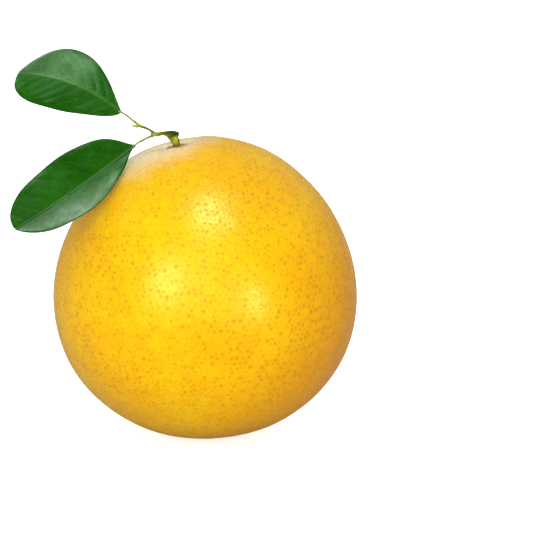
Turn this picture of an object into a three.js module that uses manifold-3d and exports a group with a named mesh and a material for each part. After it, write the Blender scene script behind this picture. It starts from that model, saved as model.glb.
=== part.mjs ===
// A whole grapefruit with its button, a short piece of twig and two leaves.
// Millimetres, +Z up. The origin is the middle of the small flat spot the fruit rests on.
// The leaves reach out towards -X and the stem leans the same way.
import * as THREE from "three";
import { mergeVertices } from "three/addons/utils/BufferGeometryUtils.js";
import Module from "manifold-3d";

const wasm = await Module();
wasm.setup();

const degrees = Math.PI / 180;

// ---- driving sizes ----
const clearance = 0.3; // gap left between neighbouring pieces

const fruitRadius = 55;
const fruitLobe = 0.9; // three soft swellings round the fruit, seen from the front
const restDepth = 0.65; // height pressed off the underside by the weight of the fruit
const stemLean = 10.7 * degrees; // the stem end leans towards -X
const stemDimpleDepth = 3;
const stemDimpleRadius = 7.5;
const blossomDentDepth = 0.4;
const blossomDentRadius = 4;

const calyxRadius = 4.2;
const calyxHeight = 0.7;
const calyxLobes = 5;
const calyxLobeDepth = 0.45;

const fruitStalkRadius = 1.35;
const fruitStalkLength = 4.2;
const twigRadius = 1; // at the cut end
const twigNeckRadius = 0.64;
const lowerNodeRadius = 0.8;
const shootRadius = 0.45; // the green shoot between the two leaf nodes
const upperNodeRadius = 0.8;
const leafStalkRadius = 0.42;
const budLength = 2;
const budRadius = 0.5;

const leafThickness = 0.6;

// Places along the twig, from the top of the fruit's stalk.
const cutEnd = new THREE.Vector3(1.5, 1, -0.4);
const neck = new THREE.Vector3(-4.2, -1.2, 0.2);
const lowerNode = new THREE.Vector3(-6.5, -3, 0.2);
const shootBend = new THREE.Vector3(-8.8, -3.8, 2.1);
const upperNode = new THREE.Vector3(-12.8, -4.5, 3.7);

// Each leaf: where its blade starts, from the top of the fruit's stalk, how it is turned,
// how long it is, how it droops, bows sideways and twists, and over what share of its length
// it tapers into the stalk. Each side of the midrib has its own half width, fold and curl,
// and full and blunt shape its outline towards the stalk and towards the tip.
const upperLeaf = {
  start: new THREE.Vector3(-18.5, -5, 8.4),
  heading: 167 * degrees,
  rise: 23 * degrees,
  roll: -54 * degrees,
  length: 41.5,
  droop: 7.4,
  bow: -3.1,
  twist: 4 * degrees,
  wedge: 0.004,
  topSide: { halfWidth: 13.8, fold: -8 * degrees, curl: -0.3, full: 1.16, blunt: 0.65 },
  underSide: { halfWidth: 11.95, fold: -8 * degrees, curl: 0, full: 0.75, blunt: 0.42 },
};
const lowerLeaf = {
  start: new THREE.Vector3(-13.5, -8, -2.9),
  heading: 206 * degrees,
  rise: -29.5 * degrees,
  roll: -39 * degrees,
  length: 52,
  droop: 0.9,
  bow: 1,
  twist: 8 * degrees,
  wedge: 0.07,
  topSide: { halfWidth: 13.5, fold: 14 * degrees, curl: 0, full: 0.46, blunt: 0.45 },
  underSide: { halfWidth: 14.2, fold: 8 * degrees, curl: -1.1, full: 1.13, blunt: 0.68 },
};

// ---- helpers ----
function solidOf(geometry) {
  const bare = geometry.clone();
  bare.deleteAttribute("normal");
  bare.deleteAttribute("uv");
  const merged = mergeVertices(bare, 1e-4);
  return new wasm.Manifold(
    new wasm.Mesh({
      numProp: 3,
      vertProperties: new Float32Array(merged.getAttribute("position").array),
      triVerts: new Uint32Array(merged.index.array),
    }),
  );
}

function geometryOf(solid) {
  const mesh = solid.getMesh();
  const geometry = new THREE.BufferGeometry();
  geometry.setAttribute("position", new THREE.BufferAttribute(mesh.vertProperties, 3));
  geometry.setIndex(new THREE.BufferAttribute(mesh.triVerts, 1));
  geometry.computeVertexNormals();
  return geometry;
}

// Moves every vertex of a geometry to the place that a rule gives for it.
function reshape(geometry, rule) {
  const position = geometry.getAttribute("position");
  const vertex = new THREE.Vector3();
  for (let i = 0; i < position.count; i++) {
    vertex.fromBufferAttribute(position, i);
    const moved = rule(vertex);
    position.setXYZ(i, moved.x, moved.y, moved.z);
  }
  geometry.computeVertexNormals();
  return geometry;
}

function named(name, geometry, color, roughness) {
  const material = new THREE.MeshStandardMaterial({ color, roughness, metalness: 0 });
  const mesh = new THREE.Mesh(geometry, material);
  mesh.name = name;
  return mesh;
}

// ---- the fruit's skin ----
const stemAxis = new THREE.Vector3(-Math.sin(stemLean), 0, Math.cos(stemLean));
const down = new THREE.Vector3(0, 0, -1);

// Distance of the skin from the fruit's middle, in any direction.
function skinRadius(direction) {
  const fromStem = direction.angleTo(stemAxis);
  const fromBlossom = Math.PI - fromStem;
  const round = Math.hypot(direction.x, direction.z);
  const around = Math.atan2(direction.z, direction.x);
  const lobe = -fruitLobe * round ** 3 * Math.sin(3 * around);
  const stemSpread = (fromStem * fruitRadius) / stemDimpleRadius;
  const blossomSpread = (fromBlossom * fruitRadius) / blossomDentRadius;
  const dimple = stemDimpleDepth * Math.exp(-(stemSpread ** 2));
  const dent = blossomDentDepth * Math.exp(-(blossomSpread ** 2));
  return fruitRadius + lobe - dimple - dent;
}

const fruitCentre = new THREE.Vector3(0, 0, skinRadius(down) - restDepth);

// Turns a shape that stands along +Y so that it stands along the stem's axis.
const alongStem = new THREE.Quaternion().setFromUnitVectors(new THREE.Vector3(0, 1, 0), stemAxis);

function buildFruit() {
  const rings = 34;
  const profile = [];
  for (let i = 0; i <= rings; i++) {
    const share = i / rings;
    const angle = Math.PI * (share - (0.1 * Math.sin(2 * Math.PI * share)) / 1.6);
    profile.push(new THREE.Vector2(Math.sin(angle), -Math.cos(angle)));
  }
  profile[0].x = 0;
  profile[rings].x = 0;
  const skin = reshape(new THREE.LatheGeometry(profile, 56), (vertex) => {
    const direction = vertex.clone().normalize().applyQuaternion(alongStem);
    return direction.clone().multiplyScalar(skinRadius(direction)).add(fruitCentre);
  });
  const floorSize = 4 * fruitRadius;
  const floor = new THREE.BoxGeometry(floorSize, floorSize, floorSize);
  floor.translate(0, 0, -floorSize / 2);
  return geometryOf(solidOf(skin).subtract(solidOf(floor)));
}

// ---- the button under the stalk ----
// A low five-lobed lens whose underside follows the skin of the dimple.
const calyxTop = clearance + calyxHeight;

function buildCalyx() {
  return reshape(new THREE.SphereGeometry(1, 40, 10), (vertex) => {
    const out = Math.min(1, Math.hypot(vertex.x, vertex.z));
    const around = Math.atan2(vertex.z, vertex.x);
    const lobed = calyxRadius - calyxLobeDepth * (0.5 - 0.5 * Math.cos(calyxLobes * around));
    const reach = (out * lobed) / fruitRadius;
    const direction = new THREE.Vector3(
      Math.sin(reach) * Math.cos(around),
      Math.cos(reach),
      Math.sin(reach) * Math.sin(around),
    ).applyQuaternion(alongStem);
    const lift = vertex.y > 0 ? vertex.y * 0.7 + 0.3 : 0.3 + vertex.y * 0.3;
    const height = clearance + calyxHeight * lift;
    return direction.multiplyScalar(skinRadius(direction) + height).add(fruitCentre);
  });
}

const stalkFoot = stemAxis
  .clone()
  .multiplyScalar(skinRadius(stemAxis) + calyxTop + clearance)
  .add(fruitCentre);
const stalkTop = stemAxis
  .clone()
  .multiplyScalar(fruitStalkLength)
  .add(stalkFoot);

function fromStalkTop(offset) {
  return offset.clone().add(stalkTop);
}

// ---- woody pieces ----
// A turned rod bent along a line of points, with its own radius at each point.
function limb(points, radii, stations, sides) {
  const line = new THREE.CatmullRomCurve3(points, false, "centripetal");
  const girth = new THREE.SplineCurve(radii.map((radius, i) => new THREE.Vector2(i, radius)));
  const profile = [new THREE.Vector2(0, 0)];
  for (let i = 0; i <= stations; i++) {
    const share = i / stations;
    profile.push(new THREE.Vector2(girth.getPoint(share).y, share));
  }
  profile.push(new THREE.Vector2(0, 1));
  const across = new THREE.Vector3(0, 1, 0);
  return reshape(new THREE.LatheGeometry(profile, sides), (vertex) => {
    const tangent = line.getTangent(vertex.y);
    const side = new THREE.Vector3().crossVectors(across, tangent).normalize();
    const other = new THREE.Vector3().crossVectors(side, tangent).normalize();
    return line
      .getPoint(vertex.y)
      .addScaledVector(side, vertex.x)
      .addScaledVector(other, vertex.z);
  });
}

const overStalk = new THREE.Vector3(-0.5, 0, 0.1);
const overFork = new THREE.Vector3(-2.4, -0.5, 0.05);
const twigLine = [cutEnd, overStalk, overFork, neck, lowerNode, shootBend, upperNode];
const twigPoints = twigLine.map(fromStalkTop);

function buildTwig() {
  const stalkMiddle = stalkFoot.clone().lerp(stalkTop, 0.5);
  const knuckle = stalkTop.clone().add(new THREE.Vector3(-0.2, 0, -0.9));
  const buried = fromStalkTop(overStalk);
  const fruitStalk = limb(
    [stalkFoot, stalkMiddle, knuckle, buried],
    [fruitStalkRadius * 1.05, fruitStalkRadius, fruitStalkRadius * 1.05, twigRadius * 0.8],
    12,
    14,
  );
  // The wood fills the fork between the stalk and the shoot.
  const forkFoot = stalkFoot.clone().lerp(stalkTop, 0.2);
  const forkWay = new THREE.Vector3().subVectors(fromStalkTop(overFork), forkFoot);
  const forkRadius = Math.min(fruitStalkRadius, twigRadius) * 0.95;
  const fork = limb(
    [
      forkFoot,
      forkFoot.clone().addScaledVector(forkWay, 0.4),
      forkFoot.clone().addScaledVector(forkWay, 0.75),
      fromStalkTop(overFork),
    ],
    [forkRadius * 0.7, forkRadius, forkRadius, forkRadius * 0.8],
    8,
    12,
  );
  const shoot = limb(
    twigPoints,
    [
      twigRadius * 0.85,
      twigRadius,
      twigRadius * 0.98,
      twigNeckRadius,
      lowerNodeRadius,
      shootRadius,
      upperNodeRadius,
    ],
    34,
    12,
  );
  return geometryOf(solidOf(fruitStalk).add(solidOf(fork)).add(solidOf(shoot)));
}

// A leaf's stalk runs from its node on the twig to the foot of its blade.
const lowerNodeAt = fromStalkTop(lowerNode);
const upperNodeAt = fromStalkTop(upperNode);
const shootWay = new THREE.Vector3().subVectors(upperNodeAt, fromStalkTop(shootBend)).normalize();
const aboveShoot = new THREE.Vector3(0, 1, 0).cross(shootWay).normalize();
const stalkFootRadius = leafStalkRadius * 1.2;
// The upper stalk and its bud sit side by side on the end of the shoot.
const seatSpread = stalkFootRadius + budRadius + clearance;
const upperStalkFoot = upperNodeAt
  .clone()
  .addScaledVector(shootWay, clearance + stalkFootRadius * 0.3)
  .addScaledVector(aboveShoot, seatSpread * 0.4);
const upperBudFoot = upperNodeAt
  .clone()
  .addScaledVector(shootWay, clearance)
  .addScaledVector(aboveShoot, seatSpread * -0.6);
const upperStalkWay = new THREE.Vector3()
  .subVectors(fromStalkTop(upperLeaf.start), upperStalkFoot)
  .normalize();
const upperBudWay = shootWay.clone().addScaledVector(aboveShoot, -0.15).normalize();

// The lower stalk leaves the side of its node, and its bud lies in front of the fork.
const lowerStalkWay = new THREE.Vector3(-0.8, -0.55, -0.25).normalize();
const lowerStalkSeat = new THREE.Vector3(-0.75, -0.3, -0.5).normalize();
const lowerStalkFoot = lowerNodeAt
  .clone()
  .addScaledVector(lowerStalkSeat, lowerNodeRadius + clearance + stalkFootRadius * 0.5);
const lowerBudWay = new THREE.Vector3(-0.75, -0.65, 0.15).normalize();
const lowerBudSeat = new THREE.Vector3(-0.1, -1, 0.15).normalize();
const lowerBudFoot = lowerNodeAt
  .clone()
  .addScaledVector(lowerBudSeat, lowerNodeRadius + clearance + budRadius);

function bladeWay(leaf) {
  return new THREE.Vector3(1, 0, 0).applyMatrix4(bladeTurn(leaf));
}

function bladeTurn(leaf) {
  return new THREE.Matrix4()
    .makeRotationZ(leaf.heading)
    .multiply(new THREE.Matrix4().makeRotationY(-leaf.rise))
    .multiply(new THREE.Matrix4().makeRotationX(leaf.roll));
}

function buildLeafStalk(foot, way, leaf) {
  const end = fromStalkTop(leaf.start).addScaledVector(bladeWay(leaf), -clearance);
  const reach = foot.distanceTo(end) * 0.35;
  const leaving = foot.clone().addScaledVector(way, reach);
  const arriving = end.clone().addScaledVector(bladeWay(leaf), -reach);
  return limb(
    [foot, leaving, arriving, end],
    [stalkFootRadius, leafStalkRadius, leafStalkRadius, stalkFootRadius],
    14,
    10,
  );
}

// ---- buds, one at the foot of each leaf stalk ----
function buildBud(foot, way) {
  const middle = foot.clone().addScaledVector(way, budLength / 2);
  const tip = foot.clone().addScaledVector(way, budLength);
  return limb([foot, middle, tip], [budRadius, budRadius * 0.8, budRadius * 0.25], 6, 8);
}

// ---- leaf blades ----
// share runs from the stalk (0) to the tip (1), side from one margin (-1) to the other (1).
function bladePoint(leaf, share, side) {
  const half = side < 0 ? leaf.topSide : leaf.underSide;
  const widest = half.full / (half.full + half.blunt);
  const peak = widest ** half.full * (1 - widest) ** half.blunt;
  const taper = 1 - Math.exp(-((share / leaf.wedge) ** 1.2));
  const outline = (taper * share ** half.full * (1 - share) ** half.blunt) / peak;
  const narrowest = stalkFootRadius;
  const reach = Math.abs(side) * (narrowest + (half.halfWidth - narrowest) * outline);
  const across = Math.sign(side) * reach * Math.cos(half.fold);
  const lift = reach * Math.sin(half.fold) - half.curl * (reach / 10) ** 2;
  const turn = leaf.twist * share;
  return new THREE.Vector3(
    leaf.length * share,
    leaf.bow * 4 * share * (1 - share) + across * Math.cos(turn) - lift * Math.sin(turn),
    -leaf.droop * share ** 2 + across * Math.sin(turn) + lift * Math.cos(turn),
  );
}

function buildBlade(leaf) {
  const turn = bladeTurn(leaf);
  const start = fromStalkTop(leaf.start);
  const sheet = new THREE.BoxGeometry(1, 1, 1, 26, 8, 1);
  return reshape(sheet, (vertex) => {
    const share = 0.5 - 0.5 * Math.cos(Math.PI * (vertex.x + 0.5));
    const point = bladePoint(leaf, share, vertex.y * 2);
    point.z += vertex.z * leafThickness;
    return point.applyMatrix4(turn).add(start);
  });
}

// ---- the assembly ----
const grapefruit = new THREE.Group();
grapefruit.name = "grapefruit";

grapefruit.add(named("fruit", buildFruit(), 0xf6c02c, 0.42));

const stem = new THREE.Group();
stem.name = "stem";
stem.add(named("calyx", buildCalyx(), 0x9a7a34, 0.7));
stem.add(named("twig", buildTwig(), 0x5c7230, 0.6));
grapefruit.add(stem);

const foliage = new THREE.Group();
foliage.name = "foliage";
const upperStalk = buildLeafStalk(upperStalkFoot, upperStalkWay, upperLeaf);
const lowerStalk = buildLeafStalk(lowerStalkFoot, lowerStalkWay, lowerLeaf);
foliage.add(named("upper_leaf_stalk", upperStalk, 0x8fa04a, 0.55));
foliage.add(named("upper_leaf", buildBlade(upperLeaf), 0x2c6b20, 0.4));
foliage.add(named("lower_leaf_stalk", lowerStalk, 0x8fa04a, 0.55));
foliage.add(named("lower_leaf", buildBlade(lowerLeaf), 0x2c6b20, 0.4));
const upperBud = buildBud(upperBudFoot, upperBudWay);
const lowerBud = buildBud(lowerBudFoot, lowerBudWay);
foliage.add(named("upper_bud", upperBud, 0xa9b562, 0.6));
foliage.add(named("lower_bud", lowerBud, 0xa9b562, 0.6));
grapefruit.add(foliage);

export default grapefruit;
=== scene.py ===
import math
import random

import bmesh
import bpy
from mathutils import Matrix, Vector, noise


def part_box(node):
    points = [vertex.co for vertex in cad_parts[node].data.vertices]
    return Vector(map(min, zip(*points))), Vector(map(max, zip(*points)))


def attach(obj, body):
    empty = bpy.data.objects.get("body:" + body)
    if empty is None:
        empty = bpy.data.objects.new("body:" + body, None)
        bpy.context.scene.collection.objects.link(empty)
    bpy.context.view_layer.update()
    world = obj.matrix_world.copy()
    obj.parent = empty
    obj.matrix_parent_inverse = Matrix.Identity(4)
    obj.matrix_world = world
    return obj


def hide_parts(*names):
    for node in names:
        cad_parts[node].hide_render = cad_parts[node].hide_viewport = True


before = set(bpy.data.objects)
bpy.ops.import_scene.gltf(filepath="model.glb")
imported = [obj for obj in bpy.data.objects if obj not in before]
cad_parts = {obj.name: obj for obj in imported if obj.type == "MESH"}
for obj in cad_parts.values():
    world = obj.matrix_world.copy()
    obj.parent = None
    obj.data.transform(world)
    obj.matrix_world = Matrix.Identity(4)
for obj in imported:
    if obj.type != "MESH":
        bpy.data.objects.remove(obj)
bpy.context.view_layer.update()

mm = 0.001
scene = bpy.context.scene
scene.view_settings.view_transform = "Standard"


def unitVector(x, y, z):
    return Vector((x, y, z)).normalized()


def wobble(point, size, seed):  # soft noise from -1 to 1, with lumps of about this size
    return noise.noise(point / size + Vector((seed * 3.1, seed * 1.7, seed * 5.3)))


def hump(distance, width):  # 1 in the middle, fading away over the width
    return math.exp(-((distance / width) ** 2))


def easeBetween(low, high, value):
    share = min(1, max(0, (value - low) / (high - low)))
    return share * share * (3 - 2 * share)


def finishPiece(name, bm, materials, node):
    mesh = bpy.data.meshes.new(name)
    for face in bm.faces:
        face.smooth = True
    bm.to_mesh(mesh)
    bm.free()
    for material in materials:
        mesh.materials.append(material)
    piece = bpy.data.objects.new(name, mesh)
    scene.collection.objects.link(piece)
    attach(piece, "root")
    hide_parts(node)
    return piece


def paint(red, green, blue):  # screen colour from 0 to 255, made linear
    def linear(value):
        value /= 255
        return value / 12.92 if value <= 0.04045 else ((value + 0.055) / 1.055) ** 2.4
    return (linear(red), linear(green), linear(blue), 1)


def addNode(tree, kind, place, **settings):
    made = tree.nodes.new(kind)
    made.location = place
    for key, value in settings.items():
        setattr(made, key, value)
    return made


def join(tree, fromSocket, toSocket):
    tree.links.new(fromSocket, toSocket)


def feed(tree, socket, value):  # links a socket, or sets a plain value
    if isinstance(value, bpy.types.NodeSocket):
        tree.links.new(value, socket)
    else:
        socket.default_value = value


def mathNode(tree, operation, a, b=None, place=(0, 0)):
    made = addNode(tree, "ShaderNodeMath", place, operation=operation)
    feed(tree, made.inputs[0], a)
    if b is not None:
        feed(tree, made.inputs[1], b)
    return made.outputs[0]


def mixColour(tree, amount, a, b, place=(0, 0)):
    made = addNode(tree, "ShaderNodeMix", place, data_type="RGBA")
    feed(tree, made.inputs[0], amount)
    feed(tree, made.inputs[6], a)
    feed(tree, made.inputs[7], b)
    return made.outputs[2]


def mixValue(tree, amount, a, b, place=(0, 0)):
    made = addNode(tree, "ShaderNodeMix", place, data_type="FLOAT")
    feed(tree, made.inputs[0], amount)
    feed(tree, made.inputs[2], a)
    feed(tree, made.inputs[3], b)
    return made.outputs[0]


def spread(tree, value, low, high, newLow=0.0, newHigh=1.0, place=(0, 0)):
    made = addNode(tree, "ShaderNodeMapRange", place, interpolation_type="SMOOTHSTEP")
    for socket, setting in zip(made.inputs, (value, low, high, newLow, newHigh)):
        feed(tree, socket, setting)
    return made.outputs[0]


def distanceTo(tree, where, point, place=(0, 0)):
    made = addNode(tree, "ShaderNodeVectorMath", place, operation="DISTANCE")
    join(tree, where, made.inputs[0])
    made.inputs[1].default_value = point
    return made.outputs["Value"]


def objectPlace(tree, place=(-1600, 0)):
    return addNode(tree, "ShaderNodeTexCoord", place).outputs["Object"]


def readAttribute(tree, name, place=(0, 0)):
    made = addNode(tree, "ShaderNodeAttribute", place, attribute_name=name)
    return made.outputs["Fac"]


def fineNoise(tree, where, scale, detail, place):
    made = addNode(tree, "ShaderNodeTexNoise", place)
    join(tree, where, made.inputs["Vector"])
    feed(tree, made.inputs["Scale"], scale)
    made.inputs["Detail"].default_value = detail
    return made.outputs["Fac"]


def addBump(tree, shader, height, strength, depth):
    bump = addNode(tree, "ShaderNodeBump", (500, -500))
    bump.inputs["Strength"].default_value = strength
    bump.inputs["Distance"].default_value = depth
    join(tree, height, bump.inputs["Height"])
    join(tree, bump.outputs[0], shader.inputs["Normal"])


def newMaterial(name):
    material = bpy.data.materials.new(name)
    material.use_nodes = True
    tree = material.node_tree
    shader = tree.nodes["Principled BSDF"]
    shader.location = (900, 0)
    tree.nodes["Material Output"].location = (1200, 0)
    return material, tree, shader


def newGroup(name, inputs):
    group = bpy.data.node_groups.new(name, "ShaderNodeTree")
    group.interface.new_socket("Vector", in_out="INPUT", socket_type="NodeSocketVector")
    for label, value in inputs.items():
        socket = group.interface.new_socket(label, in_out="INPUT", socket_type="NodeSocketFloat")
        socket.default_value = value
    group.interface.new_socket("Mask", in_out="OUTPUT", socket_type="NodeSocketFloat")
    start = addNode(group, "NodeGroupInput", (-800, 0))
    end = addNode(group, "NodeGroupOutput", (800, 0))
    return group, start.outputs, end.inputs


def placeGroup(tree, group, place, **values):
    made = addNode(tree, "ShaderNodeGroup", place, node_tree=group)
    for key, value in values.items():
        feed(tree, made.inputs[key], value)
    return made.outputs["Mask"]


# Broad and fine mottling, from 0 to 1, for skin, leaf and bark.
def makeMottle():
    group, given, result = newGroup("mottle", {"Broad": 60.0, "Fine": 400.0, "Share": 0.35})
    broad = fineNoise(group, given["Vector"], given["Broad"], 3, (-500, 150))
    fine = fineNoise(group, given["Vector"], given["Fine"], 2, (-500, -150))
    both = mixValue(group, given["Share"], broad, fine, (-150, 0))
    join(group, spread(group, both, 0.34, 0.66, place=(200, 0)), result["Mask"])
    return group


# Small round specks of mixed strength, for scars on skin, bark and leaves.
def makeSpecks():
    group, given, result = newGroup("specks", {"Scale": 300.0, "Size": 0.25, "Rarity": 0.6})
    cells = addNode(group, "ShaderNodeTexVoronoi", (-500, 0))
    join(group, given["Vector"], cells.inputs["Vector"])
    join(group, given["Scale"], cells.inputs["Scale"])
    split = addNode(group, "ShaderNodeSeparateColor", (-300, -150))
    join(group, cells.outputs["Color"], split.inputs[0])
    near = mathNode(group, "LESS_THAN", cells.outputs["Distance"], given["Size"], (-300, 100))
    picked = mathNode(group, "GREATER_THAN", split.outputs[0], given["Rarity"], (-100, -100))
    both = mathNode(group, "MULTIPLY", near, picked, (100, 0))
    join(group, mathNode(group, "MULTIPLY", both, split.outputs[1], (300, 0)), result["Mask"])
    return group


mottle = makeMottle()
specks = makeSpecks()
print("shader groups ready")


fruit = {
    "lobe": 0.9 * mm,  # three soft swellings round the front outline
    "restDepth": 0.65 * mm,  # how much of the round underside the flat spot takes
    "stemLean": math.radians(10.7),
    "dimpleDepth": 3 * mm,
    "dimpleRadius": 7.5 * mm,
    "dentDepth": 0.4 * mm,  # at the blossom end
    "dentRadius": 4 * mm,
    "swell": 0.2 * mm,
    "swellSize": 0.32,  # sizes of lumps are shares of the fruit's radius
    "ripple": 0.045 * mm,
    "rippleSize": 0.055,
    "furrow": 0.3 * mm,  # folds that run down into the dimple
    "furrowPlace": 8 * mm,
    "furrowReach": 6 * mm,
    "lip": 0.28 * mm,  # raised skin round the button
    "lipRadius": 6.2 * mm,
    "lipWidth": 1.5 * mm,
    "lipWander": 0.12,
    "poreRows": 6,
    "poreScatter": 0.4,
    "poreDepth": 0.09 * mm,
    "poreGaps": 0.13,  # share of the places in the net that stay empty
    "poreInGap": 0.25,
    "poreFaintest": 0.32,
    "poreUneven": 1.3,
    "poreMiddling": 0.85,
    "poreMoreOnRight": 0.12,
    "porePatches": 0.3,
    "porePatchSize": 0.45,
    "poreRing": 0.38,  # how far a pore shades the skin beside it
    "poreNearStem": 0.25,
    "poreGrow": (9 * mm, 25 * mm),  # pores come up to strength over this distance from the stem
    "poreSink": (10 * mm, 28 * mm),  # and dip into the skin over this one
    "dimpleCuts": 2,
}
fruitLow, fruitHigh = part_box("fruit")
fruitRadius = (fruitHigh.x - fruitLow.x) / 2
fruitCentre = Vector((0, 0, fruitRadius - fruit["lobe"] - fruit["restDepth"]))
stemAxis = Vector((-math.sin(fruit["stemLean"]), 0, math.cos(fruit["stemLean"])))
stemTurn = Vector((0, 0, 1)).rotation_difference(stemAxis)


def fromStem(direction):  # distance over the skin to the middle of the dimple
    return direction.angle(stemAxis) * fruitRadius


def skinRadius(direction):
    spanRound = math.hypot(direction.x, direction.z)
    around = math.atan2(direction.z, direction.x)
    swelling = -fruit["lobe"] * spanRound ** 3 * math.sin(3 * around)
    dimple = fruit["dimpleDepth"] * hump(fromStem(direction), fruit["dimpleRadius"])
    dent = fruit["dentDepth"] * hump(math.pi * fruitRadius - fromStem(direction), fruit["dentRadius"])
    return fruitRadius + swelling - dimple - dent


def skinRelief(direction):  # low swells, a fine ripple, and furrows that run into the dimple
    relief = fruit["swell"] * wobble(direction, fruit["swellSize"], 1)
    relief += fruit["ripple"] * wobble(direction, fruit["rippleSize"], 2)
    local = stemTurn.inverted() @ direction
    around = math.atan2(local.y, local.x)
    ring = Vector((math.cos(around), math.sin(around), 0))
    away = fromStem(direction)
    furrow = hump(away - fruit["furrowPlace"], fruit["furrowReach"])
    relief += fruit["furrow"] * furrow * wobble(ring, 0.4, 3)
    lipPlace = fruit["lipRadius"] * (1 + fruit["lipWander"] * wobble(ring, 0.6, 7))
    lip = hump(away - lipPlace, fruit["lipWidth"])
    relief += fruit["lip"] * lip * (0.6 + 0.7 * wobble(ring, 0.3, 8))
    return relief


def scatterPores(bm, rng):  # each corner of this net is one oil pore, pushed out of its row
    spacing = sum(edge.calc_length() for edge in bm.edges) / len(bm.edges)
    for vert in bm.verts:
        push = Vector((rng.gauss(0, 1), rng.gauss(0, 1), rng.gauss(0, 1)))
        push = push.cross(vert.co).normalized() * spacing * fruit["poreScatter"] * rng.random() ** 0.5
        vert.co = (vert.co + push).normalized()


def poreStrength(direction, rng):
    faintest = fruit["poreFaintest"]
    strength = faintest + (1 - faintest) * rng.random() ** fruit["poreUneven"]
    strength *= (fruit["poreMiddling"] + fruit["poreMoreOnRight"] * direction.x
                 + fruit["porePatches"] * wobble(direction, fruit["porePatchSize"], 13))
    if rng.random() < fruit["poreGaps"]:
        strength = fruit["poreInGap"] * rng.random()
    grown = easeBetween(*fruit["poreGrow"], fromStem(direction))
    return strength * (fruit["poreNearStem"] + (1 - fruit["poreNearStem"]) * grown)


def makeFruit(material):
    bm = bmesh.new()
    pore = bm.verts.layers.float.new("pore")
    bmesh.ops.create_icosphere(bm, subdivisions=fruit["poreRows"], radius=1)
    rng = random.Random(11)
    scatterPores(bm, rng)
    poreTotal = len(bm.verts)
    bmesh.ops.subdivide_edges(bm, edges=bm.edges[:], cuts=fruit["dimpleCuts"], use_grid_fill=True)
    bm.verts.ensure_lookup_table()
    for i, vert in enumerate(bm.verts):
        direction = vert.co.normalized()
        radius = skinRadius(direction) + skinRelief(direction)
        if i < poreTotal:  # the net's own corners come first
            strength = poreStrength(direction, rng)
            sunk = easeBetween(*fruit["poreSink"], fromStem(direction))
            radius -= fruit["poreDepth"] * strength * sunk
            vert[pore] = max(vert[pore], strength)
            for edge in vert.link_edges:
                beside = edge.other_vert(vert)
                beside[pore] = max(beside[pore], strength * fruit["poreRing"])
        vert.co = fruitCentre + direction * radius
        vert.co.z = max(0, vert.co.z)
    print("fruit skin:", len(bm.faces), "faces,", poreTotal, "pores")
    return finishPiece("grapefruitSkin", bm, [material], "fruit")


rindLooks = {
    "yellow": paint(252, 200, 12),
    "gold": paint(248, 182, 6),
    "orange": paint(236, 146, 2),
    "cell": paint(255, 214, 22),
    "cellScale": 780,
    "cellShow": 0.4,
    # painted shade and painted warm reflection: deeper orange towards the lower +X side
    "paintedShadeWay": (0.9, -0.1, -0.25),
    "paintedShadeFrom": -2 * mm,
    "paintedShadeFull": 55 * mm,
    "paintedShadeShow": 0.85,
    # pale skin: partly its own colour, partly a painted reflection of the bright surroundings on the
    # upper-left rim
    "pale": paint(251, 228, 164),
    "paleFleck": paint(255, 244, 212),
    "paleShift": Vector((-7, 0, -3)) * mm,  # from the dimple to the middle of the pale skin
    "paleFull": 11 * mm,
    "paleEnd": 30 * mm,
    "paleRagged": 6 * mm,
    "paleShow": 0.95,
    "poreColour": paint(203, 143, 3),
    "poreFull": 0.7,
    "poreShow": 0.8,
    "poreDull": 0.2,
    "poreDip": 0.6,
    "scar": paint(150, 104, 44),
    "scarFull": 1.3 * mm,
    "scarEnd": 2.4 * mm,
    "scarShow": 0.9,
    "strayShow": 0.3,
    "grainScale": 1000,
    "grainStrength": 0.7,
    "grainDepth": 0.13 * mm,
    "smoothest": 0.22,
    "roughest": 0.32,
    "gloss": 0.26,
    "sheen": (1, 0.94, 0.42, 1),
}


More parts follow.
